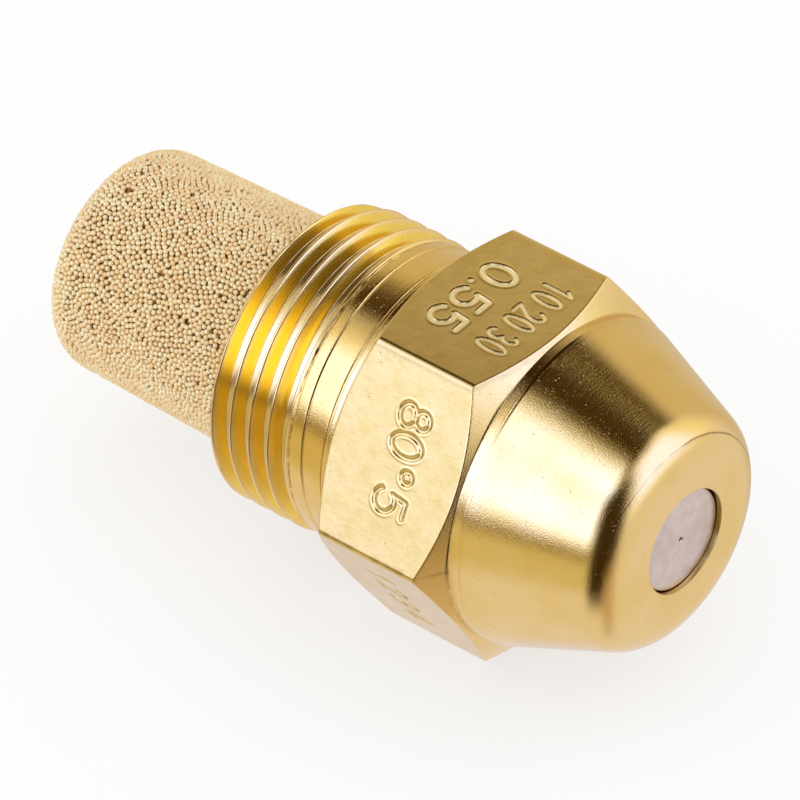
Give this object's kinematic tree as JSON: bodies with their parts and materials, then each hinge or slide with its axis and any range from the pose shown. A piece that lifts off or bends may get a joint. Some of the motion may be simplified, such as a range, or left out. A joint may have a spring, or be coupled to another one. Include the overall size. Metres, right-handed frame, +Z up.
{
  "type": "oil burner nozzle",
  "caption": "Turned hexagonal nozzle with a threaded shank, a tapered spray end with a pinhole disc, and a porous filter cup at the rear.",
  "frame": {"origin": "bottom centre of the whole nozzle's box, on the surface that the lower hexagon flat lies on", "axes": "+X along the nozzle's axis towards the spray end, +Z up through the upper hexagon flat, +Y across the corners"},
  "size_m": [0.0324, 0.0184, 0.0159],
  "materials": {
    "brass": "turned, satin to bright",
    "steel": "fine turned face",
    "sintered_bronze": "sintered beads, open pores"
  },
  "bodies": {
    "body": {"nozzle_body": "brass", "orifice_disc": "steel", "swirl_cone": "steel", "retaining_screw": "brass"},
    "filter": {"filter_plug": "brass", "sintered_filter": "sintered_bronze"}
  },
  "joints": [
    {"name": "filter_unscrew", "type": "slide", "parent": "body", "child": "filter", "axis": [-1, 0, 0], "range_m": [0, 0.0047]}
  ]
}
